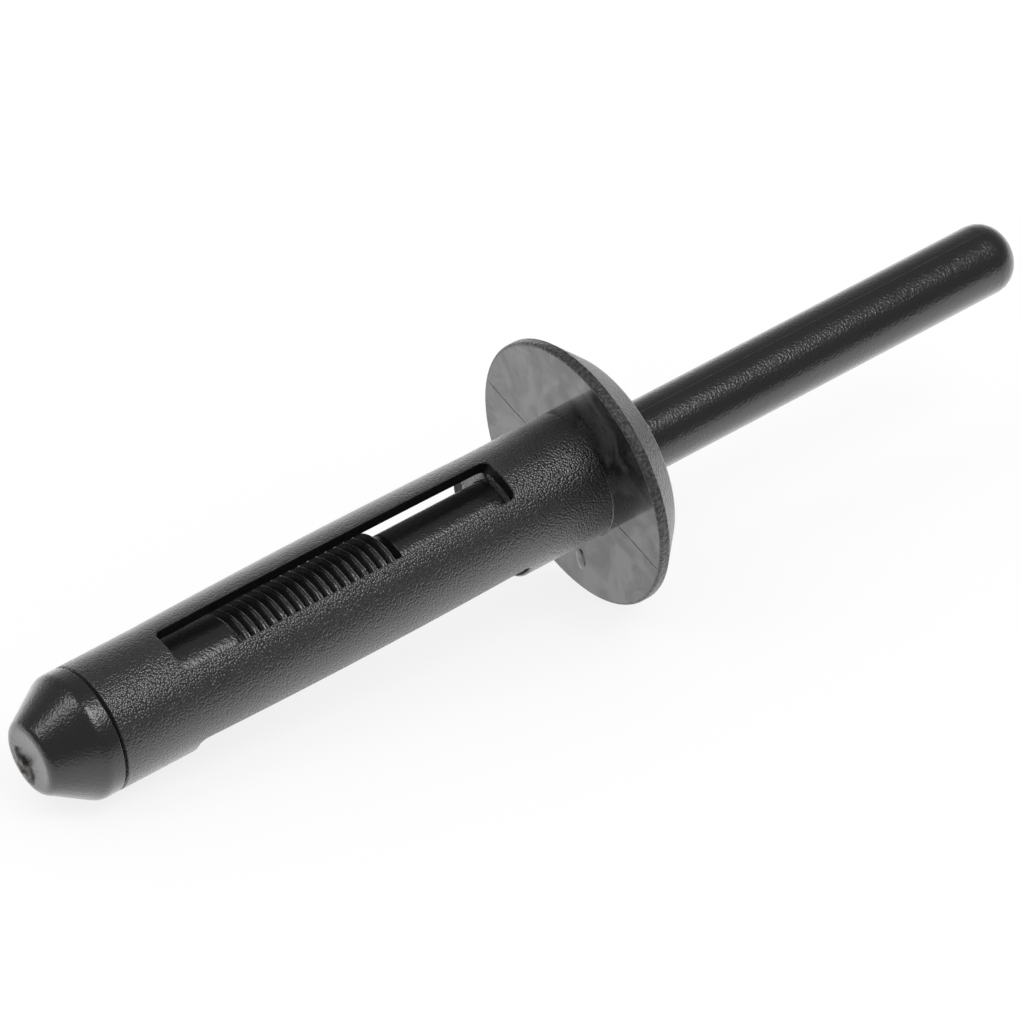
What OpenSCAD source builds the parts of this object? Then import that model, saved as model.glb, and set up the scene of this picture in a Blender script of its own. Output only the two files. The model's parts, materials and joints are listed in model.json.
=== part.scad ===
// Plastic blind rivet: a flanged sleeve with folding legs, threaded on a headed pull mandrel.
// It lies as it comes to rest, on the rim of the flange and the shoulder of the mandrel's head,
// with the stem pointing to +X and slightly up. Sizes are in millimetres.

/* [Sleeve] */
// Outside diameter of the sleeve, to suit the drilled hole
sleeve_d = 6.3; // [5.6:0.05:7.6]
// Thickness of the folding legs
leg_wall = 0.75; // [0.55:0.05:0.95]
// Outward bow of the legs at their middle, which makes them fold outwards
leg_bow = 0.1; // [0.04:0.02:0.2]
// Plain neck between the flange and the slots
neck_len = 4.65; // [3:0.05:7]
// Length of the slots that part the legs
slot_len = 19; // [15:0.1:26]
// Width of each slot
slot_w = 2.5; // [1.6:0.05:3]
// Corner radius at the ends of a slot
slot_corner = 0.35; // [0.1:0.05:0.6]
// Number of slots, and so of legs
slots = 3; // [2:1:4]
// Plain ring that ties the legs together beside the head
ring_len = 4.25; // [3:0.05:7]
// Small bevel where the sleeve's end meets the head
edge_break = 0.15; // [0.05:0.05:0.3]
// Turn of the first slot from the top of the lying rivet towards its front
slot_turn = 20; // [0:1:120]

/* [Flange] */
// Diameter of the flange
flange_d = 13.6; // [11.5:0.1:18]
// Height of the flange, from its seat to its flat top
flange_h = 2.25; // [1.6:0.05:3]
// Upright rim round the flange
rim_h = 0.5; // [0.3:0.05:0.9]
// Width of the bevel between the rim and the flat top
bevel_w = 1.75; // [1:0.05:2.4]
// Radius where the bevel runs out into the flat top
bevel_round = 1; // [0.4:0.1:1.6]

/* [Mandrel] */
// Room between the rod and the legs, on each side
rod_gap = 0.225; // [0.1:0.025:0.4]
// Sliding clearance of the stem and the rod in the sleeve, on each side
fit_gap = 0.05; // [0.02:0.01:0.09]
// Step down from the rod to the stem, on each side
stem_step = 0.4; // [0.25:0.05:0.6]
// Length of stem that stands out of the flange
stem_len = 24.1; // [16:0.1:28]
// Radius round the stem's blunt end
stem_round = 1.4; // [0.4:0.05:1.5]
// Depth of the stem's lower edge below the flange's seat
notch_depth = 10.6; // [9:0.1:12]
// Width of the break notch between the stem and the ribs
notch_w = 0.48; // [0.3:0.02:0.8]
// Diameter that is left in the break notch
notch_d = 2.4; // [1.6:0.1:2.8]

/* [Ribs] */
// Number of locking ribs on the rod
ribs = 17; // [8:1:18]
// Distance from rib to rib
rib_pitch = 0.52; // [0.4:0.01:0.56]
// Depth of the grooves between the ribs
rib_depth = 0.24; // [0.1:0.02:0.34]
// Width of the land on each rib
rib_land = 0.12; // [0.06:0.01:0.2]

/* [Head] */
// Height of the head
head_h = 3.25; // [2.6:0.05:4.5]
// Straight rim behind the head's shoulder
head_rim = 0.95; // [0.6:0.05:1.4]
// Radius of the head's shoulder
shoulder_r = 0.8; // [0.3:0.05:1]
// Diameter of the head's cone where it meets the tip face
tip_d = 3.5; // [2.4:0.1:3.8]
// Radius round the tip face
tip_r = 0.45; // [0.1:0.05:0.6]

/* [Hidden] */
$fn = 96;
// Steps that a rounding on a turned outline, the bow of a leg and a corner of a slot are drawn with
arc_steps = 12;
bow_steps = 6;
corner_steps = 5;

sleeve_r = sleeve_d / 2;
flange_r = flange_d / 2;
sleeve_len = neck_len + slot_len + ring_len;
leg_bore_r = sleeve_r - leg_wall;
rod_r = leg_bore_r - rod_gap;
ring_bore_r = rod_r + fit_gap;
stem_r = rod_r - stem_step;
neck_bore_r = stem_r + fit_gap;
stem_top = flange_h + stem_len;
ribs_top = -notch_depth - notch_w;
ribs_bottom = ribs_top - ribs * rib_pitch;
tip_z = -sleeve_len - head_h;

// Radius of the legs' bow, half the angle that it spans, and the height of its centre
bow_r = (slot_len * slot_len / 4 + leg_bow * leg_bow) / (2 * leg_bow);
bow_half = asin(slot_len / 2 / bow_r);
bow_z = -neck_len - slot_len / 2;

// Centre of the rounding on the stem's end
stem_c = [stem_r - stem_round, stem_top - stem_round];

// The head passes the same hole as the sleeve
head_r = sleeve_r;

// Slope of the flange's bevel, and the centre of the rounding at its top
bevel_slope = atan2(flange_h - rim_h, bevel_w);
bevel_c = [flange_r - bevel_w - bevel_round * tan(bevel_slope / 2), flange_h - bevel_round];

// Slope of the head's cone against the axis, and the centres of its two rounded corners
cone_rise = head_h - head_rim;
cone_slope = atan2(head_r - tip_d / 2, cone_rise);
shoulder_c = [head_r - shoulder_r, -sleeve_len - head_rim + shoulder_r * tan(cone_slope / 2)];
tip_c = [tip_d / 2 - tip_r * tan((90 - cone_slope) / 2), tip_z + tip_r];

// Lean of the axis when the flange's front edge and the head's shoulder both touch the ground
reach = -shoulder_c[1];
drop = flange_r - shoulder_c[0];
tilt = atan2(drop, reach) - asin(shoulder_r / norm([reach, drop]));
rest_z = flange_r * cos(tilt);
x_max = stem_c[1] * cos(tilt) + stem_c[0] * sin(tilt) + stem_round;
x_min = tip_c[1] * cos(tilt) - tip_c[0] * sin(tilt) - tip_r;

// Points along a round stretch of an outline, between two angles
function arc(centre, r, from, to, steps = arc_steps) = [
    for (i = [0 : steps])
        let (a = from + (to - from) * i / steps)
            centre + r * [cos(a), sin(a)]];

// Bowed side of a leg over the length of the slots, on a given radius at both ends, up or down the axis
function bow(r, way) = arc([r + leg_bow - bow_r, bow_z], bow_r, -way * bow_half, way * bow_half, bow_steps);

// Half section of the sleeve, as radius and height along the axis from the flange's seat
function sleeve_outline() = concat(
    [[ring_bore_r, -sleeve_len], [sleeve_r - edge_break, -sleeve_len], [sleeve_r, -sleeve_len + edge_break]],
    bow(sleeve_r, 1),
    [[sleeve_r, 0], [flange_r, 0], [flange_r, rim_h]],
    arc(bevel_c, bevel_round, 90 - bevel_slope, 90),
    [[neck_bore_r, flange_h], [neck_bore_r, -neck_len]],
    bow(leg_bore_r, -1),
    [[ring_bore_r, -neck_len - slot_len]]);

// One rib, from the groove above it to its land
function rib(z) = [
    [rod_r - rib_depth, z],
    [rod_r, z - (rib_pitch - rib_land) / 2],
    [rod_r, z - (rib_pitch + rib_land) / 2]];

// Half section of the mandrel, from the stem's blunt end down to the tip face
function mandrel_outline() = concat(
    [[0, stem_top]],
    arc(stem_c, stem_round, 90, 0),
    [[stem_r, -notch_depth], [notch_d / 2, -notch_depth - notch_w / 2]],
    [for (i = [0 : ribs - 1]) each rib(ribs_top - i * rib_pitch)],
    [[rod_r - rib_depth, ribs_bottom], [rod_r, ribs_bottom - rib_depth]],
    [[rod_r, -sleeve_len], [head_r - edge_break, -sleeve_len], [head_r, -sleeve_len - edge_break]],
    arc(shoulder_c, shoulder_r, 0, -cone_slope),
    arc(tip_c, tip_r, -cone_slope, -90),
    [[0, tip_z]]);

// Slot seen square on, with its long side along the axis
module slot_shape() {
    half = slot_w / 2 - slot_corner;
    top = -neck_len - slot_corner;
    bottom = -neck_len - slot_len + slot_corner;
    polygon(concat(
        arc([half, top], slot_corner, 0, 90, corner_steps),
        arc([-half, top], slot_corner, 90, 180, corner_steps),
        arc([-half, bottom], slot_corner, 180, 270, corner_steps),
        arc([half, bottom], slot_corner, 270, 360, corner_steps)));
}

// Lays a piece that stands on its axis down on the ground
module lie() {
    translate([-(x_min + x_max) / 2, 0, rest_z])
        rotate([0, 90 - tilt, 0])
            children();
}

module sleeve() {
    color([0.17, 0.17, 0.17])
        lie()
            difference() {
                rotate_extrude() polygon(sleeve_outline());
                for (i = [0 : slots - 1])
                    rotate([0, 0, 270 + slot_turn + i * 360 / slots])
                        rotate([90, 0, 0])
                            linear_extrude(sleeve_d) slot_shape();
            }
}

module mandrel() {
    color([0.12, 0.12, 0.13])
        lie()
            rotate_extrude() polygon(mandrel_outline());
}

sleeve();
mandrel();
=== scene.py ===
import json
from math import atan2, ceil, cos, hypot, pi, radians, sin, sqrt, tan
from types import SimpleNamespace

import bmesh
import bpy
from bpy.props import FloatProperty, FloatVectorProperty, IntProperty, PointerProperty
from mathutils import Matrix, Vector, noise


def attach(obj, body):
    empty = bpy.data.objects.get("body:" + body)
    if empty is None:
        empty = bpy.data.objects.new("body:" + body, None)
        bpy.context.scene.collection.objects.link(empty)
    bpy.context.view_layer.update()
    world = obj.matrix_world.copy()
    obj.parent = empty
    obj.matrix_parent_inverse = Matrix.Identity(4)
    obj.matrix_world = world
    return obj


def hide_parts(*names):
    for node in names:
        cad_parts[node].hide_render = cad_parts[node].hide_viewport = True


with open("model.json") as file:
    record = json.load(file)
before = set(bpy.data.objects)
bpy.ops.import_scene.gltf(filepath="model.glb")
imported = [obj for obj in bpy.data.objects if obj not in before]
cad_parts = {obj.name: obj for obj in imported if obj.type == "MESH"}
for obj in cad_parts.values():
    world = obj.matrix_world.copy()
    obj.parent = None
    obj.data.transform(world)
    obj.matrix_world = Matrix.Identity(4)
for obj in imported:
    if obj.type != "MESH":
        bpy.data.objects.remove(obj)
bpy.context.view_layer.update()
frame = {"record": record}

bl_info = {
    "name": "Plastic Blind Rivet",
    "version": (1, 0, 0),
    "blender": (4, 5, 0),
    "location": "View3D > Sidebar > Rivet",
    "description": "Dresses a black nylon blind rivet: slotted sleeve, ribbed pull mandrel and a pale studio",
    "category": "Add Mesh",
}

MM = 0.001
SLEEVE, MANDREL = "sleeve", "mandrel"

# Step between the points of a rounding, and the distance of the point that keeps the flat beside it flat
ROUND_STEP = radians(15)
SUPPORT = 0.03
# Edges sharper than this are drawn sharp
SHARP = radians(38)
# Points closer than this are one point, in millimetres
WELD = 0.002
# Marks of the faces that get the sleeve's plain grain, its polished seat, its coarse back and its dull slot walls,
# whose darkness is painted shade
PLAIN, SEAT, COARSE, DULL = 0, 1, 2, 3
# Bevels that open the seam between the sleeve's end and the head: across, along the axis, and their rounding
SEAM = SimpleNamespace(across=0.25, along=0.1, rounding=0.04)


def linear(hex_colour):
    """Linear colour of an sRGB hex value."""
    channels = [int(hex_colour[i:i + 2], 16) / 255 for i in (1, 3, 5)]
    return tuple(c / 12.92 if c <= 0.04045 else ((c + 0.055) / 1.055) ** 2.4 for c in channels)


def length(name, size, description):
    """A length property, with its default given in millimetres."""
    return FloatProperty(name=name, description=description, default=size * MM, min=0.0, unit="LENGTH", precision=5)


def colour(name, hex_colour, description):
    """A colour property, with its default given as an sRGB hex value."""
    return FloatVectorProperty(
        name=name, description=description, default=linear(hex_colour), subtype="COLOR", min=0.0, max=1.0)


class RivetSizes(bpy.types.PropertyGroup):
    """Sizes of the rivet, as in its solids"""

    sleeve_d: length("Sleeve diameter", 6.3, "Outside diameter of the sleeve and of the mandrel's head")
    leg_wall: length("Leg wall", 0.75, "Thickness of the folding legs")
    leg_bow: length("Leg bow", 0.1, "Outward bow of the legs at their middle")
    neck_len: length("Neck", 4.65, "Plain neck between the flange and the slots")
    slot_len: length("Slot length", 19.0, "Length of the slots that part the legs")
    slot_w: length("Slot width", 2.5, "Width of each slot")
    slot_corner: length("Slot corner", 0.35, "Corner radius at the ends of a slot")
    ring_len: length("Ring", 4.25, "Plain ring that ties the legs together beside the head")
    edge_r: length("Slot edge", 0.1, "Moulded rounding along the outer edges of the slots")
    slots: IntProperty(name="Slots", description="Number of slots, and so of legs", default=3, min=2, max=4)
    slot_turn: FloatProperty(
        name="Slot turn", description="Turn of the first slot from the top towards the front",
        default=radians(20), subtype="ANGLE", unit="ROTATION")
    flange_d: length("Flange diameter", 13.6, "Diameter of the flange")
    flange_h: length("Flange height", 2.25, "Height of the flange, from its seat to its flat top")
    rim_h: length("Rim", 0.5, "Upright rim round the flange")
    bevel_w: length("Bevel", 1.75, "Width of the bevel between the rim and the flat top")
    bevel_r: length("Bevel rounding", 1.0, "Radius where the bevel runs out into the flat top")
    rod_d: length("Rod diameter", 4.35, "Diameter of the ribbed rod inside the legs")
    stem_d: length("Stem diameter", 3.55, "Diameter of the stem that the tool pulls")
    stem_len: length("Stem length", 24.1, "Length of stem that stands out of the flange")
    stem_r: length("Stem end", 1.4, "Radius round the stem's blunt end")
    fit_gap: length("Fit", 0.05, "Sliding clearance of the stem and the rod in the sleeve, on each side")
    notch_depth: length("Notch depth", 10.6, "Depth of the stem's lower edge below the flange's seat")
    notch_w: length("Notch width", 0.48, "Width of the break notch between the stem and the ribs")
    notch_d: length("Notch diameter", 2.4, "Diameter that is left in the break notch")
    ribs: IntProperty(name="Ribs", description="Number of locking ribs on the rod", default=17, min=1, max=40)
    rib_pitch: length("Rib pitch", 0.52, "Distance from rib to rib")
    rib_depth: length("Rib depth", 0.24, "Depth of the grooves between the ribs")
    rib_land: length("Rib land", 0.12, "Width of the land on each rib")
    head_h: length("Head height", 3.25, "Height of the head")
    head_rim: length("Head rim", 0.95, "Straight rim behind the head's shoulder")
    shoulder_r: length("Shoulder", 0.8, "Radius of the head's shoulder")
    tip_d: length("Tip diameter", 3.5, "Diameter of the head's cone where it meets the tip face")
    tip_r: length("Tip rounding", 0.45, "Radius round the tip face")


class RivetColours(bpy.types.PropertyGroup):
    """Colours of the two nylon mouldings and of the studio"""

    # The sleeve's black nylon, painted darker in the grain's pits as painted shade and paler on the grain's tops as a
    # painted highlight
    sleeve_dark: colour("Sleeve pits", "#131312", "Black nylon in the pits of the sleeve's grain")
    sleeve_light: colour("Sleeve grain", "#222221", "Black nylon on top of the sleeve's grain")
    # Paler tops of the coarse grain: a painted highlight on black nylon
    coarse_top_highlight: colour("Coarse grain", "#3a3a39", "Black nylon on top of the coarse grain of the flange's back")
    seat: colour("Seat", "#080808", "Black nylon of the polished seat")
    # Paler clouds of the seat: a painted reflection, lighter patches along the flow marks
    seat_cloud: colour("Seat clouds", "#3c3c3c", "Paler clouds that the flow left in the polished seat")
    mandrel: colour("Mandrel", "#101011", "Black nylon of the mandrel")
    gate: colour("Torn gate", "#78736d", "Stress-whitened nylon where the gate tore off")
    floor: colour("Floor", "#f4f4f4", "Pale studio floor")


def in_mm(context):
    """Sizes of the rivet in millimetres, with the heights and radii that follow from them."""
    group = context.scene.rivet_sizes
    s = SimpleNamespace()
    for name in group.__annotations__:
        unit = group.bl_rna.properties[name].unit
        setattr(s, name, getattr(group, name) / MM if unit == "LENGTH" else getattr(group, name))
    s.sleeve_r, s.flange_r, s.rod_r = s.sleeve_d / 2, s.flange_d / 2, s.rod_d / 2
    s.leg_bore_r = s.sleeve_r - s.leg_wall
    s.neck_bore_r = s.stem_d / 2 + s.fit_gap
    s.ring_bore_r = s.rod_r + s.fit_gap
    s.slot_top = -s.neck_len
    s.slot_bottom = -s.neck_len - s.slot_len
    s.sleeve_end = s.slot_bottom - s.ring_len
    s.stem_top = s.flange_h + s.stem_len
    s.ribs_top = -s.notch_depth - s.notch_w
    s.ribs_bottom = s.ribs_top - s.ribs * s.rib_pitch
    s.core_r = s.rod_r - s.rib_depth
    s.tip_z = s.sleeve_end - s.head_h
    s.bow_r = (s.slot_len ** 2 / 4 + s.leg_bow ** 2) / (2 * s.leg_bow)
    return s


def lying():
    """Matrix from the rivet's own upright millimetres to where it lies.

    Its own x points up from the axis, y to the front and z along the axis from the flange's seat to the stem's end.
    """
    shank = next(m for m in frame["record"]["mounts"] if m["name"] == "shank")
    along = -Vector(shank["axis"]).normalized()
    front = Vector((0.0, -1.0, 0.0))
    up = front.cross(along)
    seat = Vector(shank["pos_m"]) + along * shank["dims"]["length_mm"] / 2 * MM
    turn = Matrix((up, front, along)).transposed().to_4x4()
    return Matrix.Translation(seat) @ turn @ Matrix.Scale(MM, 4)


def steps(start, end, count):
    """Evenly spaced numbers from start to end."""
    return [start + (end - start) * i / count for i in range(count + 1)]


def rounded(corners):
    """Points of a turned outline, given as corners of radius, height and rounding."""
    points = []
    for i, (r, z, fillet) in enumerate(corners):
        corner = Vector((r, z))
        if not fillet:
            points.append(corner)
            continue
        back = (Vector(corners[i - 1][:2]) - corner).normalized()
        ahead = (Vector(corners[i + 1][:2]) - corner).normalized()
        half = back.angle(ahead) / 2
        reach = fillet / tan(half)
        centre = corner + (back + ahead).normalized() * fillet / sin(half)
        first, last = corner + back * reach - centre, corner + ahead * reach - centre
        sweep = pi - 2 * half
        count = max(3, ceil(sweep / ROUND_STEP))
        points.append(centre + first + back * SUPPORT)
        for t in steps(0, 1, count):
            points.append(centre + (first * sin((1 - t) * sweep) + last * sin(t * sweep)) / sin(sweep))
        points.append(centre + last + ahead * SUPPORT)
    return points


def grid(bm, rows, marks=None):
    """Adds a patch of quads through rows of points. Marks name the finish of each row of faces."""
    layer = bm.faces.layers.int.get("finish") or bm.faces.layers.int.new("finish")
    rows = [[bm.verts.new(p) for p in row] for row in rows]
    for i, (row, after) in enumerate(zip(rows, rows[1:])):
        for a, b, c, d in zip(row, row[1:], after[1:], after):
            bm.faces.new((a, b, c, d))[layer] = marks[i] if marks else PLAIN


def turned(bm, outline, columns, shift=None):
    """Adds a shape turned from an outline that starts and ends on the axis. Shift moves each point along the axis."""
    def place(r, z, angle):
        p = Vector((r * cos(angle), r * sin(angle), z))
        return p + Vector((0, 0, shift(p))) if shift else p

    rings = []
    for r, z in outline:
        count = 1 if r < WELD else columns
        rings.append([bm.verts.new(place(r, z, 2 * pi * i / columns)) for i in range(count)])
    for ring, after in zip(rings, rings[1:]):
        for i in range(columns):
            j = (i + 1) % columns
            corners = (ring[i % len(ring)], ring[j % len(ring)], after[j % len(after)], after[i % len(after)])
            bm.faces.new(tuple(dict.fromkeys(corners)))


def tidy(mesh):
    """Merges the doubles of a closed mesh, turns its faces outwards and sets its shading."""
    bm = bmesh.new()
    bm.from_mesh(mesh)
    bmesh.ops.remove_doubles(bm, verts=bm.verts, dist=WELD)
    bmesh.ops.dissolve_degenerate(bm, edges=bm.edges, dist=WELD / 10)
    bmesh.ops.recalc_face_normals(bm, faces=bm.faces)
    bm.to_mesh(mesh)
    bm.free()
    mesh.shade_smooth()
    mesh.set_sharp_from_angle(angle=SHARP)


def finish_piece(context, mesh, name, body, replaced=None):
    """Lays a mesh in its place and makes it a piece of the rivet that moves with its body."""
    tidy(mesh)
    mesh.transform(lying())
    mesh.name = name
    piece = bpy.data.objects.new(name, mesh)
    context.scene.collection.objects.link(piece)
    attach(piece, body)
    if replaced:
        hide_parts(replaced)
    return piece


def mesh_of(bm, name):
    """A mesh from a bmesh, which is freed."""
    mesh = bpy.data.meshes.new(name)
    bm.to_mesh(mesh)
    bm.free()
    return mesh


def add(tree, kind, links=None, **settings):
    """Adds a node with its settings. Links fill its sockets with plain values or with other nodes' sockets."""
    node = tree.nodes.new(kind)
    for name, value in settings.items():
        setattr(node, name, value)
    for socket, value in (links or {}).items():
        if isinstance(value, bpy.types.NodeSocket):
            tree.links.new(value, node.inputs[socket])
        else:
            node.inputs[socket].default_value = value
    return node


def shape_tree(name, sockets):
    """A new geometry tree with a geometry going in and out and named inputs of the given kinds."""
    tree = bpy.data.node_groups.new(name, "GeometryNodeTree")
    tree.interface.new_socket("Geometry", in_out="INPUT", socket_type="NodeSocketGeometry")
    for label, kind in sockets.items():
        tree.interface.new_socket(label, in_out="INPUT", socket_type=kind)
    tree.interface.new_socket("Geometry", in_out="OUTPUT", socket_type="NodeSocketGeometry")
    tree.is_modifier = True
    return tree, add(tree, "NodeGroupInput").outputs


def round_tree():
    """Repeats a shape round the axis, joins the copies, and gives the marked faces their own finish."""
    tree, given = shape_tree("Round the axis", {
        "Count": "NodeSocketInt", "Weld": "NodeSocketFloat", "Finish": "NodeSocketMaterial",
        "Seat finish": "NodeSocketMaterial", "Coarse finish": "NodeSocketMaterial",
        "Dull finish": "NodeSocketMaterial"})
    step = add(tree, "ShaderNodeMath", {0: 2 * pi, 1: given["Count"]}, operation="DIVIDE")
    index = add(tree, "GeometryNodeInputIndex")
    angle = add(tree, "ShaderNodeMath", {0: index.outputs[0], 1: step.outputs[0]}, operation="MULTIPLY")
    about = add(tree, "ShaderNodeCombineXYZ", {"Z": angle.outputs[0]})
    turn = add(tree, "FunctionNodeEulerToRotation", {0: about.outputs[0]})
    line = add(tree, "GeometryNodeMeshLine", {"Count": given["Count"], "Offset": (0, 0, 0)})
    copies = add(tree, "GeometryNodeInstanceOnPoints", {
        "Points": line.outputs[0], "Instance": given["Geometry"], "Rotation": turn.outputs[0]})
    real = add(tree, "GeometryNodeRealizeInstances", {"Geometry": copies.outputs[0]})
    joined = add(tree, "GeometryNodeMergeByDistance", {"Geometry": real.outputs[0], "Distance": given["Weld"]})
    mark = add(tree, "GeometryNodeInputNamedAttribute", {"Name": "finish"}, data_type="INT").outputs[0]
    done = add(tree, "GeometryNodeSetMaterial", {"Geometry": joined.outputs[0], "Material": given["Finish"]})
    for kind, finish in ((SEAT, "Seat finish"), (COARSE, "Coarse finish"), (DULL, "Dull finish")):
        chosen = add(tree, "FunctionNodeCompare", {"A": mark, "B": kind}, data_type="INT", operation="EQUAL")
        done = add(tree, "GeometryNodeSetMaterial", {
            "Geometry": done.outputs[0], "Selection": chosen.outputs[0], "Material": given[finish]})
    add(tree, "NodeGroupOutput", {"Geometry": done.outputs[0]})
    return tree


def row_tree():
    """Repeats a shape along the axis at an even pitch."""
    tree, given = shape_tree("Along the axis", {
        "Count": "NodeSocketInt", "Pitch": "NodeSocketFloat", "Finish": "NodeSocketMaterial"})
    down = add(tree, "ShaderNodeMath", {0: given["Pitch"], 1: -1.0}, operation="MULTIPLY")
    offset = add(tree, "ShaderNodeCombineXYZ", {"Z": down.outputs[0]})
    line = add(tree, "GeometryNodeMeshLine", {"Count": given["Count"], "Offset": offset.outputs[0]})
    copies = add(tree, "GeometryNodeInstanceOnPoints", {"Points": line.outputs[0], "Instance": given["Geometry"]})
    real = add(tree, "GeometryNodeRealizeInstances", {"Geometry": copies.outputs[0]})
    done = add(tree, "GeometryNodeSetMaterial", {"Geometry": real.outputs[0], "Material": given["Finish"]})
    add(tree, "NodeGroupOutput", {"Geometry": done.outputs[0]})
    return tree


def bead_tree():
    """Draws a thin round bead along a path of edges."""
    tree, given = shape_tree("Bead along a path", {
        "Radius": "NodeSocketFloat", "Sides": "NodeSocketInt", "Finish": "NodeSocketMaterial"})
    path = add(tree, "GeometryNodeMeshToCurve", {"Mesh": given["Geometry"]})
    ring = add(tree, "GeometryNodeCurvePrimitiveCircle", {"Radius": given["Radius"], "Resolution": given["Sides"]})
    bead = add(tree, "GeometryNodeCurveToMesh", {
        "Curve": path.outputs[0], "Profile Curve": ring.outputs[0], "Fill Caps": True})
    real = add(tree, "GeometryNodeRealizeInstances", {"Geometry": bead.outputs[0]})
    done = add(tree, "GeometryNodeSetMaterial", {"Geometry": real.outputs[0], "Material": given["Finish"]})
    add(tree, "NodeGroupOutput", {"Geometry": done.outputs[0]})
    return tree


def grown(context, mesh, tree, values):
    """The mesh that a geometry tree makes of a mesh, with the tree's named inputs set."""
    seed = bpy.data.objects.new(mesh.name, mesh)
    context.scene.collection.objects.link(seed)
    modifier = seed.modifiers.new(tree.name, "NODES")
    modifier.node_group = tree
    for item in tree.interface.items_tree:
        if item.in_out == "INPUT" and item.name in values:
            modifier[item.identifier] = values[item.name]
    depsgraph = context.evaluated_depsgraph_get()
    result = bpy.data.meshes.new_from_object(seed.evaluated_get(depsgraph), depsgraph=depsgraph)
    seed.modifiers.remove(modifier)
    bpy.data.objects.remove(seed)
    if not result.polygons:
        raise RuntimeError("The tree " + tree.name + " made no faces")
    return result


def new_finish(name):
    """A new material that is one principled shader, its tree, the shader and the piece's own coordinates."""
    material = bpy.data.materials.new(name)
    material.use_nodes = True
    tree = material.node_tree
    tree.nodes.clear()
    shader = add(tree, "ShaderNodeBsdfPrincipled")
    add(tree, "ShaderNodeOutputMaterial", {"Surface": shader.outputs[0]})
    return material, tree, shader, add(tree, "ShaderNodeTexCoord").outputs["Object"]


def spark_eroded_nylon(context):
    """Black nylon from a spark-eroded mould: a fine pebbled grain that breaks every highlight into specks."""
    colours = context.scene.rivet_colours
    material, tree, shader, place = new_finish("spark_eroded_black_nylon")
    # The grain's pebbles are 0.11 mm wide, each a low dome
    pebbles = add(tree, "ShaderNodeTexVoronoi", {"Vector": place, "Scale": 1 / (0.11 * MM)})
    far = pebbles.outputs["Distance"]
    dome = add(tree, "ShaderNodeMath", {0: far, 1: far}, operation="MULTIPLY")
    bump = add(tree, "ShaderNodeBump", {
        "Height": dome.outputs[0], "Strength": 1.0, "Distance": 0.028 * MM}, invert=True)
    tree.links.new(bump.outputs[0], shader.inputs["Normal"])
    # The pebbles' tops are painted paler and the pits between them darker: a painted highlight and shade that follow
    # the grain's relief
    tops = add(tree, "ShaderNodeMapRange", {"Value": far, "From Min": 0.2, "From Max": 0.6})
    paint = add(tree, "ShaderNodeMix", {
        "Factor": tops.outputs[0], "A": (*colours.sleeve_light, 1), "B": (*colours.sleeve_dark, 1)},
        data_type="RGBA")
    tree.links.new(paint.outputs["Result"], shader.inputs["Base Color"])
    # Handling burnishes patches about 3 mm wide
    patches = add(tree, "ShaderNodeTexNoise", {"Vector": place, "Scale": 1 / (3 * MM), "Detail": 3.0})
    rough = add(tree, "ShaderNodeMapRange", {
        "Value": patches.outputs[0], "From Min": 0.3, "From Max": 0.7, "To Min": 0.28, "To Max": 0.36})
    tree.links.new(rough.outputs[0], shader.inputs["Roughness"])
    shader.inputs["IOR"].default_value = 1.53
    shader.inputs["Specular IOR Level"].default_value = 0.75
    shader.inputs["Coat Weight"].default_value = 1.0
    shader.inputs["Coat Roughness"].default_value = 0.3
    tree.links.new(bump.outputs[0], shader.inputs["Coat Normal"])
    # The grain's many small slopes lighten it at a glancing view
    shader.inputs["Sheen Weight"].default_value = 0.65
    shader.inputs["Sheen Roughness"].default_value = 0.3
    return material


def coarse_nylon(context):
    """Black nylon from a coarsely eroded mould face: salt and pepper to the eye from lumps painted paler than the
    pits, a painted highlight and shade, and light at a glancing view.
    """
    colours = context.scene.rivet_colours
    material, tree, shader, place = new_finish("coarse_black_nylon")
    # The grain's pits and lumps are about 0.15 mm wide
    grain = add(tree, "ShaderNodeTexNoise", {"Vector": place, "Scale": 1 / (0.15 * MM), "Detail": 2.0})
    bump = add(tree, "ShaderNodeBump", {"Height": grain.outputs[0], "Strength": 1.0, "Distance": 0.09 * MM})
    tree.links.new(bump.outputs[0], shader.inputs["Normal"])
    # The lumps are painted paler than the pits: a painted highlight and shade that follow the grain's relief
    tops = add(tree, "ShaderNodeMapRange", {"Value": grain.outputs[0], "From Min": 0.4, "From Max": 0.62})
    paint = add(tree, "ShaderNodeMix", {
        "Factor": tops.outputs[0], "A": (*colours.sleeve_dark, 1), "B": (*colours.coarse_top_highlight, 1)},
        data_type="RGBA")
    tree.links.new(paint.outputs["Result"], shader.inputs["Base Color"])
    shader.inputs["Roughness"].default_value = 0.42
    shader.inputs["IOR"].default_value = 1.53
    shader.inputs["Specular IOR Level"].default_value = 0.6
    shader.inputs["Coat Weight"].default_value = 0.5
    shader.inputs["Coat Roughness"].default_value = 0.4
    tree.links.new(bump.outputs[0], shader.inputs["Coat Normal"])
    # The grain's many small slopes lighten it at a glancing view
    shader.inputs["Sheen Weight"].default_value = 0.5
    shader.inputs["Sheen Roughness"].default_value = 0.3
    return material


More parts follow.
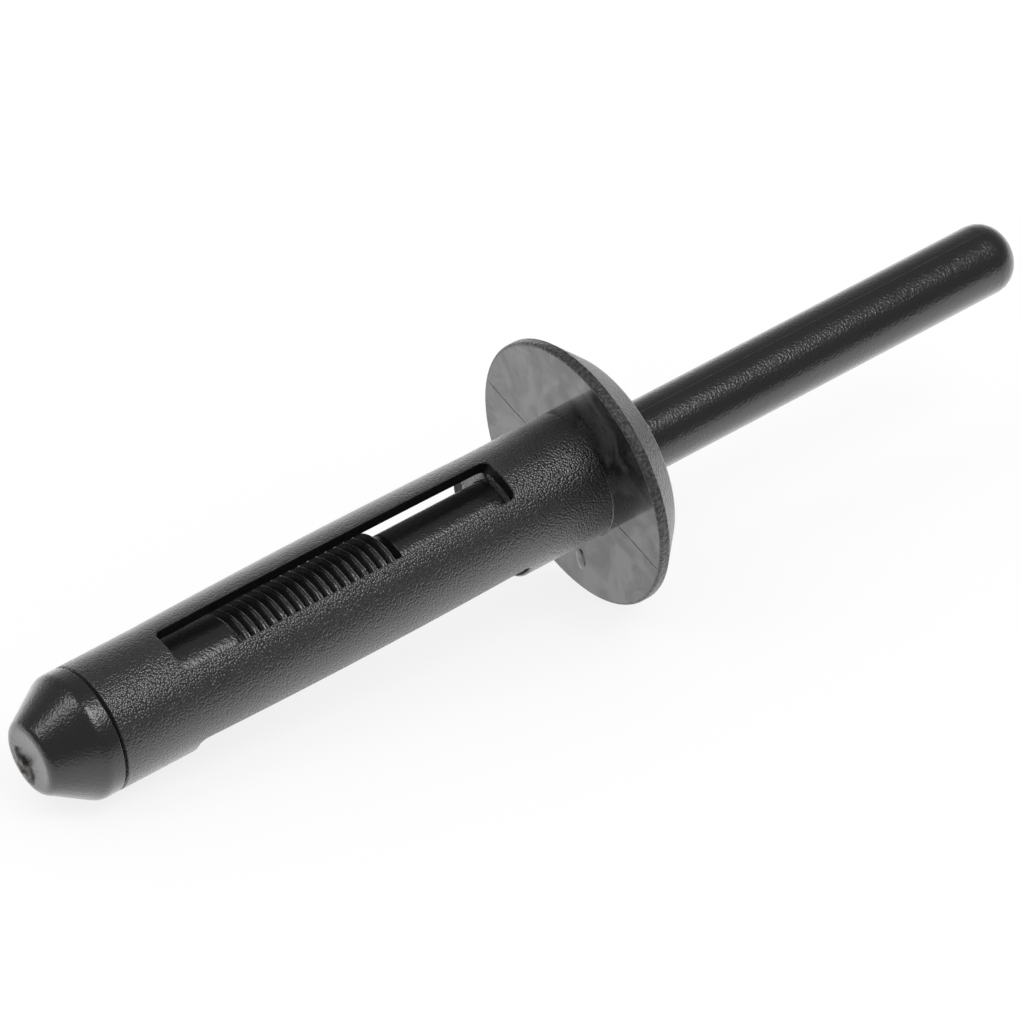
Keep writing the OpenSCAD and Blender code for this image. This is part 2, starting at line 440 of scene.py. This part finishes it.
def dull_shaded_nylon(context):
    """Black nylon for the walls of the slots, in the darkest black and without gloss: painted shade that keeps the
    walls dark.
    """
    colours = context.scene.rivet_colours
    material, tree, shader, place = new_finish("dull_painted_shade_nylon")
    # Drag of the core leaves a grain about 0.15 mm wide
    grain = add(tree, "ShaderNodeTexNoise", {"Vector": place, "Scale": 1 / (0.15 * MM), "Detail": 2.0})
    bump = add(tree, "ShaderNodeBump", {"Height": grain.outputs[0], "Strength": 1.0, "Distance": 0.04 * MM})
    tree.links.new(bump.outputs[0], shader.inputs["Normal"])
    # The seat's darkest black on the walls is painted shade for the inside of the slots
    shader.inputs["Base Color"].default_value = (*colours.seat, 1)
    shader.inputs["Roughness"].default_value = 0.55
    shader.inputs["IOR"].default_value = 1.53
    shader.inputs["Specular IOR Level"].default_value = 0.3
    return material


def polished_nylon(context):
    """Black nylon against a polished mould face: it mirrors its surroundings, with faint flow marks in its gloss and
    paler clouds along them as a painted reflection.
    """
    colours = context.scene.rivet_colours
    material, tree, shader, place = new_finish("polished_black_nylon")
    # Flow marks wander over about 2.2 mm
    flow = add(tree, "ShaderNodeTexNoise", {
        "Vector": place, "Scale": 1 / (2.2 * MM), "Detail": 4.0, "Roughness": 0.55, "Distortion": 1.2})
    rough = add(tree, "ShaderNodeMapRange", {
        "Value": flow.outputs[0], "From Min": 0.3, "From Max": 0.7, "To Min": 0.08, "To Max": 0.2})
    tree.links.new(rough.outputs[0], shader.inputs["Roughness"])
    bump = add(tree, "ShaderNodeBump", {"Height": flow.outputs[0], "Strength": 0.25, "Distance": 0.02 * MM})
    tree.links.new(bump.outputs[0], shader.inputs["Normal"])
    # The paler clouds in the base colour are a painted reflection along the flow marks; the marks' gloss and bump are
    # real
    clouds = add(tree, "ShaderNodeMapRange", {"Value": flow.outputs[0], "From Min": 0.4, "From Max": 0.66})
    paint = add(tree, "ShaderNodeMix", {
        "Factor": clouds.outputs[0], "A": (*colours.seat, 1), "B": (*colours.seat_cloud, 1)}, data_type="RGBA")
    tree.links.new(paint.outputs["Result"], shader.inputs["Base Color"])
    shader.inputs["IOR"].default_value = 1.58
    shader.inputs["Specular IOR Level"].default_value = 0.6
    gloss = add(tree, "ShaderNodeMapRange", {
        "Value": flow.outputs[0], "From Min": 0.4, "From Max": 0.62, "To Min": 0.6, "To Max": 1.0})
    tree.links.new(gloss.outputs[0], shader.inputs["Coat Weight"])
    shader.inputs["Coat IOR"].default_value = 1.65
    shader.inputs["Coat Roughness"].default_value = 0.08
    return material


def smooth_nylon(context):
    """Black nylon from a smooth mould: semi-gloss, with a very fine grain that shows only in the highlight."""
    colours = context.scene.rivet_colours
    material, tree, shader, place = new_finish("smooth_moulded_black_nylon")
    # The real grain is some hundredths of a millimetre. It is drawn at 0.12 mm so that its specks show
    grain = add(tree, "ShaderNodeTexNoise", {"Vector": place, "Scale": 1 / (0.12 * MM), "Detail": 1.0})
    bump = add(tree, "ShaderNodeBump", {"Height": grain.outputs[0], "Strength": 1.0, "Distance": 0.02 * MM})
    tree.links.new(bump.outputs[0], shader.inputs["Normal"])
    # Handling leaves duller patches about 4 mm wide
    patches = add(tree, "ShaderNodeTexNoise", {"Vector": place, "Scale": 1 / (4 * MM), "Detail": 2.0})
    rough = add(tree, "ShaderNodeMapRange", {
        "Value": patches.outputs[0], "From Min": 0.3, "From Max": 0.7, "To Min": 0.22, "To Max": 0.3})
    tree.links.new(rough.outputs[0], shader.inputs["Roughness"])
    shader.inputs["Base Color"].default_value = (*colours.mandrel, 1)
    shader.inputs["IOR"].default_value = 1.53
    shader.inputs["Specular IOR Level"].default_value = 0.6
    shader.inputs["Coat Weight"].default_value = 1.0
    shader.inputs["Coat Roughness"].default_value = 0.24
    tree.links.new(bump.outputs[0], shader.inputs["Coat Normal"])
    shader.inputs["Sheen Weight"].default_value = 0.4
    shader.inputs["Sheen Roughness"].default_value = 0.3
    return material


def torn_nylon(context):
    """Black nylon torn at the gate: rough, and whitened in streaks by the strain."""
    colours = context.scene.rivet_colours
    material, tree, shader, place = new_finish("torn_gate_nylon")
    # Tears are about 0.5 mm wide
    streaks = add(tree, "ShaderNodeTexNoise", {"Vector": place, "Scale": 1 / (0.5 * MM), "Detail": 2.0})
    white = add(tree, "ShaderNodeMapRange", {"Value": streaks.outputs[0], "From Min": 0.42, "From Max": 0.72})
    paint = add(tree, "ShaderNodeMix", {
        "Factor": white.outputs[0], "A": (*colours.mandrel, 1), "B": (*colours.gate, 1)}, data_type="RGBA")
    tree.links.new(paint.outputs["Result"], shader.inputs["Base Color"])
    bump = add(tree, "ShaderNodeBump", {"Height": streaks.outputs[0], "Strength": 0.6, "Distance": 0.05 * MM})
    tree.links.new(bump.outputs[0], shader.inputs["Normal"])
    shader.inputs["Roughness"].default_value = 0.45
    shader.inputs["IOR"].default_value = 1.53
    return material


def finish_named(context, maker):
    """The material that a maker gives, made once."""
    key = maker.__name__
    if key not in FINISHES:
        FINISHES[key] = maker(context)
    return FINISHES[key]


FINISHES = {}


def leg_swell(s, z):
    """How far a leg bows outwards at a height."""
    from_middle = abs(z - (s.slot_top + s.slot_bottom) / 2)
    if from_middle >= s.slot_len / 2:
        return 0.0
    return sqrt(s.bow_r ** 2 - from_middle ** 2) - (s.bow_r - s.leg_bow)


def half_slot(s):
    """Half of a slot's outline from the flange end to the ring end, and the places of its two corners.

    Each point has its distance across and along the slot, and the way from there into the wall.
    """
    half, corner = s.slot_w / 2, s.slot_corner
    end_steps, corner_steps, side_steps = 4, 6, 28
    top = [(x, s.slot_top, 0.0, 1.0) for x in steps(0, half - corner, end_steps)]
    split = len(top) + corner_steps // 2 - 1
    for a in steps(0, pi / 2, corner_steps)[1:]:
        top.append((half - corner + corner * sin(a), s.slot_top - corner + corner * cos(a), sin(a), cos(a)))
    side = [(half, z, 1.0, 0.0) for z in steps(s.slot_top - corner, s.slot_bottom + corner, side_steps)[1:-1]]
    bottom = [(x, s.slot_top + s.slot_bottom - z, nx, -nz) for x, z, nx, nz in reversed(top)]
    outline = top + side + bottom
    return outline, split, len(outline) - 1 - split


def slot_wall(s, outline, angle, way):
    """Rows of points over a slot's rounded edge and down its wall, on one side of the slot at an angle."""
    def place(across, out, z):
        return Vector((out * cos(angle) - way * across * sin(angle), out * sin(angle) + way * across * cos(angle), z))

    def row(off, depth):
        points = []
        for x, z, nx, nz in outline:
            across, along = x + off * nx, z + off * nz
            out = sqrt((s.sleeve_r + leg_swell(s, along)) ** 2 - across ** 2) - depth
            points.append(place(across, out, along))
        return points

    edge_steps = 5
    rows = [row(s.edge_r * (1 - sin(a)), s.edge_r * (1 - cos(a))) for a in steps(0, pi / 2, edge_steps)]
    rows.append(row(0.0, s.edge_r + SUPPORT))
    rows.append([place(x, sqrt((s.leg_bore_r + leg_swell(s, z)) ** 2 - x ** 2), z) for x, z, nx, nz in outline])
    return rows


def between(first, last, fractions):
    """Points round the axis from one point to another of the same height."""
    start, end = atan2(first.y, first.x), atan2(last.y, last.x)
    r0, r1 = hypot(first.x, first.y), hypot(last.x, last.y)
    inner = []
    for f in fractions:
        angle, r = start + (end - start) * f, r0 + (r1 - r0) * f
        inner.append(Vector((r * cos(angle), r * sin(angle), first.z)))
    return [first, *inner, last]


def sleeve_sector(s):
    """One leg of the sleeve with its share of the flange, the neck and the ring, from slot middle to slot middle."""
    bm = bmesh.new()
    outline, top, bottom = half_slot(s)
    first = slot_wall(s, outline, s.slot_turn, 1)
    last = slot_wall(s, outline, s.slot_turn + 2 * pi / s.slots, -1)
    # The last two rows of faces are the wall under the rounded edge
    wall_rows = 2
    # The walls get the dull finish, darkened as painted shade
    walls = [PLAIN] * (len(first) - 1 - wall_rows) + [DULL] * wall_rows
    grid(bm, first, walls)
    grid(bm, last, walls)
    # Shares of the way across a leg, of which the outermost lie close to the slots and keep their edges crisp
    outermost, even, columns = 0.015, 0.04, 22
    fractions = [outermost, *steps(even, 1 - even, columns), 1 - outermost]
    outside = [between(first[0][k], last[0][k], fractions) for k in range(top, bottom + 1)]
    inside = [between(first[-1][k], last[-1][k], fractions) for k in range(top, bottom + 1)]
    grid(bm, outside)
    grid(bm, inside)

    def end_row(depth, leg_row, ends):
        return [first[depth][k] for k in ends] + leg_row[1:-1] + [last[depth][k] for k in reversed(ends)]

    flange_ends = range(0, top + 1)
    ring_ends = range(len(outline) - 1, bottom - 1, -1)
    seat_edge, lip = 0.14, 0.08
    flange = rounded([
        (s.sleeve_r, s.slot_top + s.edge_r + SUPPORT, 0), (s.sleeve_r, 0, 0),
        (s.flange_r, 0, seat_edge), (s.flange_r, s.rim_h, lip),
        (s.flange_r - s.bevel_w, s.flange_h, s.bevel_r),
        (s.neck_bore_r, s.flange_h, lip), (s.neck_bore_r, s.slot_top, 0)])
    ring = rounded([
        (s.sleeve_r, s.slot_bottom - s.edge_r - SUPPORT, 0),
        (s.sleeve_r, s.sleeve_end + SEAM.along, SEAM.rounding),
        (s.sleeve_r - SEAM.across, s.sleeve_end, SEAM.rounding),
        (s.ring_bore_r, s.sleeve_end, SUPPORT), (s.ring_bore_r, s.slot_bottom, 0)])
    for turned_part, depth_row, ends in ((flange, 0, flange_ends), (ring, -1, ring_ends)):
        outer, inner = end_row(0, outside[depth_row], ends), end_row(-1, inside[depth_row], ends)
        angles = [atan2(p.y, p.x) for p in outer]
        rows = [[Vector((r * cos(a), r * sin(a), z)) for a in angles] for r, z in turned_part]
        marks = [PLAIN]
        for p, q in zip(turned_part, turned_part[1:]):
            flat = max(abs(p[1]), abs(q[1])) < WELD
            marks.append(SEAT if flat else COARSE if max(p[1], q[1]) > WELD else PLAIN)
        grid(bm, [outer, *rows, inner], [*marks, PLAIN])
    return mesh_of(bm, "sleeve_sector")


class RIVET_OT_sleeve(bpy.types.Operator):
    """Moulds the flanged sleeve with its slots and bowed legs"""

    bl_idname = "rivet.sleeve"
    bl_label = "Sleeve"

    def execute(self, context):
        s = in_mm(context)
        mesh = grown(context, sleeve_sector(s), round_tree(), {
            "Count": s.slots, "Weld": WELD,
            "Finish": finish_named(context, spark_eroded_nylon),
            "Seat finish": finish_named(context, polished_nylon),
            "Coarse finish": finish_named(context, coarse_nylon),
            "Dull finish": finish_named(context, dull_shaded_nylon)})
        finish_piece(context, mesh, "sleeve_body", SLEEVE, SLEEVE)
        return {"FINISHED"}


def mandrel_outline(s):
    """Turned outline of the mandrel from the stem's end to the tip face, with a plain core where the ribs go."""
    stem_r, notch_r, head_r, tip_r = s.stem_d / 2, s.notch_d / 2, s.sleeve_r, s.tip_d / 2
    edge, face_steps = 0.05, 24
    outline = rounded([
        (0, s.stem_top, 0), (stem_r, s.stem_top, s.stem_r),
        (stem_r, -s.notch_depth, edge), (notch_r, -s.notch_depth - s.notch_w / 2, edge),
        (s.core_r, s.ribs_top, 0), (s.core_r, s.ribs_bottom, 0),
        (s.rod_r, s.ribs_bottom - s.rib_depth, edge),
        (s.rod_r, s.sleeve_end, edge), (head_r - SEAM.across, s.sleeve_end, SEAM.rounding),
        (head_r, s.sleeve_end - SEAM.along, edge),
        (head_r, s.sleeve_end - s.head_rim, s.shoulder_r), (tip_r, s.tip_z, s.tip_r), (0, s.tip_z, 0)])
    face_r = outline[-2][0]
    return outline[:-1] + [Vector((r, s.tip_z)) for r in steps(face_r, 0, face_steps)[1:]]


# Middle of the torn gate on the tip face, up and to the front, its half length and half width, and its way.
# Its height rises steeply from its edge, and the tear makes it vary about a level, in waves per millimetre
GATE = SimpleNamespace(
    up=-0.58, front=-0.5, half=1.0, width=0.5, turn=atan2(0.74, -1.02), height=0.2,
    steepness=3, level=0.55, tear=0.9, waves=3.1)
# Hollow in the middle of the tip face
DISH = SimpleNamespace(r=1.4, depth=0.07)


def gate_reach(p):
    """How deep in the torn gate a point of the tip face lies: one in its middle, none at its edge, less outside."""
    up, front = p.x - GATE.up, p.y - GATE.front
    along = up * cos(GATE.turn) + front * sin(GATE.turn)
    side = front * cos(GATE.turn) - up * sin(GATE.turn)
    return 1 - hypot(along / GATE.half, side / GATE.width)


def gate_height(s):
    """How far the torn gate stands out of the tip face, as a shift along the axis at a point."""
    def shift(p):
        if abs(p.z - s.tip_z) > WELD:
            return 0.0
        rim = max(0.0, min(1.0, GATE.steepness * gate_reach(p)))
        torn = GATE.level + GATE.tear * noise.noise(Vector((p.x * GATE.waves, p.y * GATE.waves, 0.7)))
        dish = DISH.depth * max(0.0, 1 - hypot(p.x, p.y) / DISH.r)
        return dish - GATE.height * rim * torn

    return shift


class RIVET_OT_mandrel(bpy.types.Operator):
    """Moulds the pull mandrel with its stem, break notch, rod and head"""

    bl_idname = "rivet.mandrel"
    bl_label = "Mandrel"

    def execute(self, context):
        s = in_mm(context)
        bm, columns = bmesh.new(), 144
        turned(bm, mandrel_outline(s), columns, gate_height(s))
        face_r = s.tip_d / 2 - s.tip_r / 2
        for face in bm.faces:
            middle = face.calc_center_median()
            on_tip = abs(middle.z - s.tip_z) < 2 * GATE.height and hypot(middle.x, middle.y) < face_r
            face.material_index = int(on_tip and gate_reach(middle) > 0)
        mesh = mesh_of(bm, "mandrel_body")
        for finish in (smooth_nylon, torn_nylon):
            mesh.materials.append(finish_named(context, finish))
        finish_piece(context, mesh, "mandrel_body", MANDREL, MANDREL)
        return {"FINISHED"}


class RIVET_OT_ribs(bpy.types.Operator):
    """Sets the row of locking ribs on the mandrel's rod"""

    bl_idname = "rivet.ribs"
    bl_label = "Ribs"

    def execute(self, context):
        s = in_mm(context)
        columns = 96
        # Each rib reaches into the core, has rounded edges and leaves a narrow floor in the groove
        sunk, crest, groove_floor = 0.05, 0.05, 0.02
        middle = s.ribs_top - s.rib_pitch / 2
        half_root, half_land = s.rib_pitch / 2 - groove_floor, s.rib_land / 2
        section = rounded([
            (s.core_r - sunk, middle + half_root, 0), (s.core_r, middle + half_root, 0),
            (s.rod_r, middle + half_land, crest), (s.rod_r, middle - half_land, crest),
            (s.core_r, middle - half_root, 0), (s.core_r - sunk, middle - half_root, 0)])
        bm = bmesh.new()
        rings = [
            [bm.verts.new((r * cos(a), r * sin(a), z)) for r, z in section]
            for a in steps(0, 2 * pi, columns)[:-1]]
        for ring, after in zip(rings, rings[1:] + rings[:1]):
            for i in range(len(section)):
                j = (i + 1) % len(section)
                bm.faces.new((ring[i], ring[j], after[j], after[i]))
        mesh = grown(context, mesh_of(bm, "rib"), row_tree(), {
            "Count": s.ribs, "Pitch": s.rib_pitch, "Finish": finish_named(context, smooth_nylon)})
        finish_piece(context, mesh, "mandrel_ribs", MANDREL)
        return {"FINISHED"}


# Sides of a bead
BEAD_SIDES = 8
# Parting line of the stem: radius of its bead, and its turn from the top towards the front
STEM_LINE = SimpleNamespace(r=0.035, turn=radians(11))
# Parting line of the seat: its turn, its half width and the share of it that the top has, its height and drift,
# how deep it starts in the neck, how far it stops from the rim, and its points
SEAT_LINE = SimpleNamespace(
    turn=radians(109), half=0.06, top=0.4, height=0.012, drift=0.05, sunk=0.05, stop=0.2, points=40)
# Flash round the neck: where it starts and ends, its distance from the neck and the seat, its waver and its radius
FLASH = SimpleNamespace(start=radians(58), end=radians(142), off=0.035, under=0.02, waver=0.03, r=0.045, points=60)
# Lump on the seat: its distance under the axis, its half sizes up, to the front and along, and its unevenness
LUMP = SimpleNamespace(under=4.95, up=0.5, front=0.34, along=0.08, swell=0.4)


def waver(along, row):
    """A smooth random number that changes along a line. Each row of them is another one."""
    return noise.noise(Vector((along, row, 0)))


def edges_through(points, name):
    """A mesh that is a path of edges through points."""
    bm = bmesh.new()
    verts = [bm.verts.new(p) for p in points]
    for a, b in zip(verts, verts[1:]):
        bm.edges.new((a, b))
    return mesh_of(bm, name)


def stem_path(s):
    """Points of the stem's parting line, up one side, over the blunt end and down the other side."""
    stem_r, top = s.stem_d / 2 - STEM_LINE.r / 2, s.stem_top - STEM_LINE.r
    outline = rounded([(0, top, 0), (stem_r, top, s.stem_r), (stem_r, s.flange_h, 0)])
    side = [Vector((r * cos(STEM_LINE.turn), r * sin(STEM_LINE.turn), z)) for r, z in reversed(outline)]
    return side + [Vector((-p.x, -p.y, p.z)) for p in reversed(side[:-1])]


def seat_line(s):
    """One half of the raised line across the seat, where the two halves of the sleeve's mould meet."""
    line = SEAT_LINE
    way = Vector((cos(line.turn), sin(line.turn), 0))
    side = Vector((-sin(line.turn), cos(line.turn), 0))
    rows = []
    for r in steps(s.sleeve_r - line.sunk, s.flange_r - line.stop, line.points):
        drift = line.drift * waver(r * 0.9, 0.3)
        w = line.half * (1 + 0.6 * waver(r * 2.3, 5.1))
        h = Vector((0, 0, line.height * (1.2 + waver(r * 1.7, 8.6))))
        mid = way * r + side * drift
        foot, top = side * w, side * w * line.top
        rows.append([mid - foot + h, mid - top - h, mid + top - h, mid + foot + h])
    bm = bmesh.new()
    grid(bm, [row + row[:1] for row in rows])
    for row in (rows[0], rows[-1]):
        bm.faces.new([bm.verts.new(p) for p in row])
    return mesh_of(bm, "seat_line")


def flash_path(s):
    """Points of the flash in the corner of the neck and the seat, where the mould's core shut off."""
    points = []
    for angle in steps(FLASH.start, FLASH.end, FLASH.points):
        r = s.sleeve_r + FLASH.off + FLASH.waver * waver(angle * 7.0, 2.2)
        points.append(Vector((r * cos(angle), r * sin(angle), -FLASH.under)))
    return points


def seat_lump():
    """A small lump of nylon that stayed on the seat."""
    bm = bmesh.new()
    bmesh.ops.create_uvsphere(bm, u_segments=32, v_segments=16, radius=1.0)
    for v in bm.verts:
        swell = 1 + LUMP.swell * noise.noise(v.co * 1.1 + Vector((1.3, 6.4, 2.7)))
        v.co = Vector((
            v.co.x * LUMP.up * swell - LUMP.under, v.co.y * LUMP.front * swell, v.co.z * LUMP.along * swell))
    return mesh_of(bm, "seat_flow_mark")


class RIVET_OT_mould_marks(bpy.types.Operator):
    """Draws the parting lines of the stem and the seat, the flash round the neck and the lump on the seat"""

    bl_idname = "rivet.mould_marks"
    bl_label = "Mould marks"

    def execute(self, context):
        s = in_mm(context)
        bead = bead_tree()
        mesh = grown(context, edges_through(stem_path(s), "stem_path"), bead, {
            "Radius": STEM_LINE.r, "Sides": BEAD_SIDES, "Finish": finish_named(context, smooth_nylon)})
        finish_piece(context, mesh, "stem_parting_line", MANDREL)

        halves = 2
        mesh = grown(context, seat_line(s), round_tree(), {
            "Count": halves, "Weld": WELD, "Finish": finish_named(context, spark_eroded_nylon)})
        finish_piece(context, mesh, "seat_parting_line", SLEEVE)

        mesh = grown(context, edges_through(flash_path(s), "flash_path"), bead, {
            "Radius": FLASH.r, "Sides": BEAD_SIDES, "Finish": finish_named(context, polished_nylon)})
        finish_piece(context, mesh, "neck_flash", SLEEVE)

        mesh = seat_lump()
        mesh.materials.append(finish_named(context, polished_nylon))
        finish_piece(context, mesh, "seat_flow_mark", SLEEVE)
        return {"FINISHED"}


# The camera's place in millimetres, the way it looks as turn from +Y towards +X and fall, its roll, and its lens
CAMERA = SimpleNamespace(
    place=(-204.2096, -265.5544, 216.8782), turn=radians(37.40), fall=radians(32.23), roll=radians(0.77),
    lens=298.06, sensor=36.0)
# Way from the rivet to the dim part of the studio, over the camera, and how far it leans from upright to there
DIM_LEAN = 0.55
DIM_SIDE = Vector((-DIM_LEAN * sin(CAMERA.turn), -DIM_LEAN * cos(CAMERA.turn), 1.0)).normalized()
# Way along the floor from its dim front to its white back, as it shows in reflections
LIT_SIDE = Vector((0.37, 0.93, 0.0))
# Floor: half its size in metres, how much of it is white by itself, and where along that way it fades, in millimetres
FLOOR = SimpleNamespace(half=4.0, glow=0.82, dark=-40, white=-10)
# Studio: its light on the rivet, and in reflections its light and dim parts and the heights that they start at
STUDIO = SimpleNamespace(fill=0.85, light=1.0, dim=0.18, light_from=-1.2, dim_from=0.1)
# Each softbox: the way to it from the rivet, its distance and side in metres, and its power in watts
LAMPS = {
    "key_softbox": SimpleNamespace(way=Vector((0.041, -0.500, 0.865)), far=0.5, side=0.22, power=0.68),
    "side_softbox": SimpleNamespace(way=Vector((-0.600, 0.144, 0.787)), far=0.5, side=0.15, power=0.2),
}


def place_camera(context):
    """Puts the camera where the photograph was taken from."""
    c = CAMERA
    look = Vector((sin(c.turn) * cos(c.fall), cos(c.turn) * cos(c.fall), -sin(c.fall)))
    level = Vector((cos(c.turn), -sin(c.turn), 0.0))
    upright = level.cross(look)
    right = level * cos(c.roll) + upright * sin(c.roll)
    up = upright * cos(c.roll) - level * sin(c.roll)
    data = bpy.data.cameras.new("camera")
    data.lens, data.sensor_width = c.lens, c.sensor
    data.clip_start, data.clip_end = 0.01, 20.0
    camera = bpy.data.objects.new("camera", data)
    turn = Matrix((right, up, -look)).transposed().to_4x4()
    camera.matrix_world = Matrix.Translation(Vector(c.place) * MM) @ turn
    context.scene.collection.objects.link(camera)
    context.scene.camera = camera


def seen_directly(tree):
    """One where a ray comes from the camera, a reflection or a clear material, and nothing else."""
    path = add(tree, "ShaderNodeLightPath")
    mirror = add(tree, "ShaderNodeMath", {
        0: path.outputs["Is Glossy Ray"], 1: path.outputs["Is Transmission Ray"]}, operation="MAXIMUM")
    seen = add(tree, "ShaderNodeMath", {
        0: path.outputs["Is Camera Ray"], 1: mirror.outputs[0]}, operation="MAXIMUM")
    return path, seen.outputs[0]


def pale_floor(context):
    """Lays the floor: pale, and white to the eye, but it keeps part of the shadow."""
    bm = bmesh.new()
    bmesh.ops.create_grid(bm, x_segments=1, y_segments=1, size=FLOOR.half)
    floor = bpy.data.objects.new("floor", mesh_of(bm, "floor"))
    material = bpy.data.materials.new("pale_studio_floor")
    material.use_nodes = True
    tree = material.node_tree
    tree.nodes.clear()
    path, seen = seen_directly(tree)
    share = add(tree, "ShaderNodeMath", {0: seen, 1: FLOOR.glow}, operation="MULTIPLY")
    lit = add(tree, "ShaderNodeBsdfDiffuse", {"Color": (*context.scene.rivet_colours.floor, 1)})
    place = add(tree, "ShaderNodeTexCoord").outputs["Object"]
    back = add(tree, "ShaderNodeVectorMath", {0: place, 1: LIT_SIDE}, operation="DOT_PRODUCT").outputs["Value"]
    fade = add(tree, "ShaderNodeMapRange", {
        "Value": back, "From Min": FLOOR.dark * MM, "From Max": FLOOR.white * MM, "To Min": 0.0, "To Max": 1.0})
    shown = add(tree, "ShaderNodeMath", {
        0: fade.outputs[0], 1: path.outputs["Is Camera Ray"]}, operation="MAXIMUM")
    glow = add(tree, "ShaderNodeEmission", {"Color": (1, 1, 1, 1), "Strength": shown.outputs[0]})
    mixed = add(tree, "ShaderNodeMixShader", {0: share.outputs[0], 1: lit.outputs[0], 2: glow.outputs[0]})
    add(tree, "ShaderNodeOutputMaterial", {"Surface": mixed.outputs[0]})
    floor.data.materials.append(material)
    context.scene.collection.objects.link(floor)


def studio_world(context):
    """Sets the world: a white backdrop, and for reflections a white horizon under a dim ceiling."""
    world = bpy.data.worlds.new("studio")
    world.use_nodes = True
    tree = world.node_tree
    tree.nodes.clear()
    path, seen = seen_directly(tree)
    way = add(tree, "ShaderNodeTexCoord").outputs["Generated"]
    height = add(tree, "ShaderNodeVectorMath", {0: way, 1: DIM_SIDE}, operation="DOT_PRODUCT").outputs["Value"]
    ceiling = add(tree, "ShaderNodeMapRange", {
        "Value": height, "From Min": STUDIO.light_from, "From Max": STUDIO.dim_from,
        "To Min": STUDIO.light, "To Max": STUDIO.dim})
    shown = add(tree, "ShaderNodeMath", {
        0: ceiling.outputs[0], 1: path.outputs["Is Camera Ray"]}, operation="MAXIMUM")
    backdrop = add(tree, "ShaderNodeBackground", {"Color": (1, 1, 1, 1), "Strength": shown.outputs[0]})
    fill = add(tree, "ShaderNodeBackground", {"Color": (1, 1, 1, 1), "Strength": STUDIO.fill})
    mixed = add(tree, "ShaderNodeMixShader", {0: seen, 1: fill.outputs[0], 2: backdrop.outputs[0]})
    add(tree, "ShaderNodeOutputWorld", {"Surface": mixed.outputs[0]})
    context.scene.world = world


def softboxes(context):
    """Hangs the softboxes round the rivet."""
    for name, lamp in LAMPS.items():
        light = bpy.data.lights.new(name, "AREA")
        light.size, light.energy = lamp.side, lamp.power
        softbox = bpy.data.objects.new(name, light)
        softbox.location = lamp.way.normalized() * lamp.far
        softbox.rotation_euler = lamp.way.to_track_quat("Z", "Y").to_euler()
        context.scene.collection.objects.link(softbox)


class RIVET_OT_stage(bpy.types.Operator):
    """Sets up the pale floor, the soft studio light and the camera"""

    bl_idname = "rivet.stage"
    bl_label = "Stage"

    def execute(self, context):
        context.scene.view_settings.view_transform = "Standard"
        place_camera(context)
        pale_floor(context)
        studio_world(context)
        softboxes(context)
        return {"FINISHED"}


class RIVET_PT_panel(bpy.types.Panel):
    """Lists the rivet's sizes, colours and pieces"""

    bl_idname = "RIVET_PT_panel"
    bl_label = "Plastic Blind Rivet"
    bl_space_type = "VIEW_3D"
    bl_region_type = "UI"
    bl_category = "Rivet"

    def draw(self, context):
        layout = self.layout
        for group in (context.scene.rivet_sizes, context.scene.rivet_colours):
            column = layout.column(align=True)
            for name in group.__annotations__:
                column.prop(group, name)
        for piece in PIECES:
            layout.operator(piece.bl_idname)


PIECES = (RIVET_OT_sleeve, RIVET_OT_mandrel, RIVET_OT_ribs, RIVET_OT_mould_marks, RIVET_OT_stage)
CLASSES = (RivetSizes, RivetColours, *PIECES, RIVET_PT_panel)


def register():
    for cls in CLASSES:
        bpy.utils.register_class(cls)
    bpy.types.Scene.rivet_sizes = PointerProperty(type=RivetSizes)
    bpy.types.Scene.rivet_colours = PointerProperty(type=RivetColours)


def unregister():
    del bpy.types.Scene.rivet_colours
    del bpy.types.Scene.rivet_sizes
    for cls in reversed(CLASSES):
        bpy.utils.unregister_class(cls)


def main():
    register()
    bpy.ops.rivet.sleeve()
    bpy.ops.rivet.mandrel()
    bpy.ops.rivet.ribs()
    bpy.ops.rivet.mould_marks()
    bpy.ops.rivet.stage()


if __name__ == "__main__":
    main()
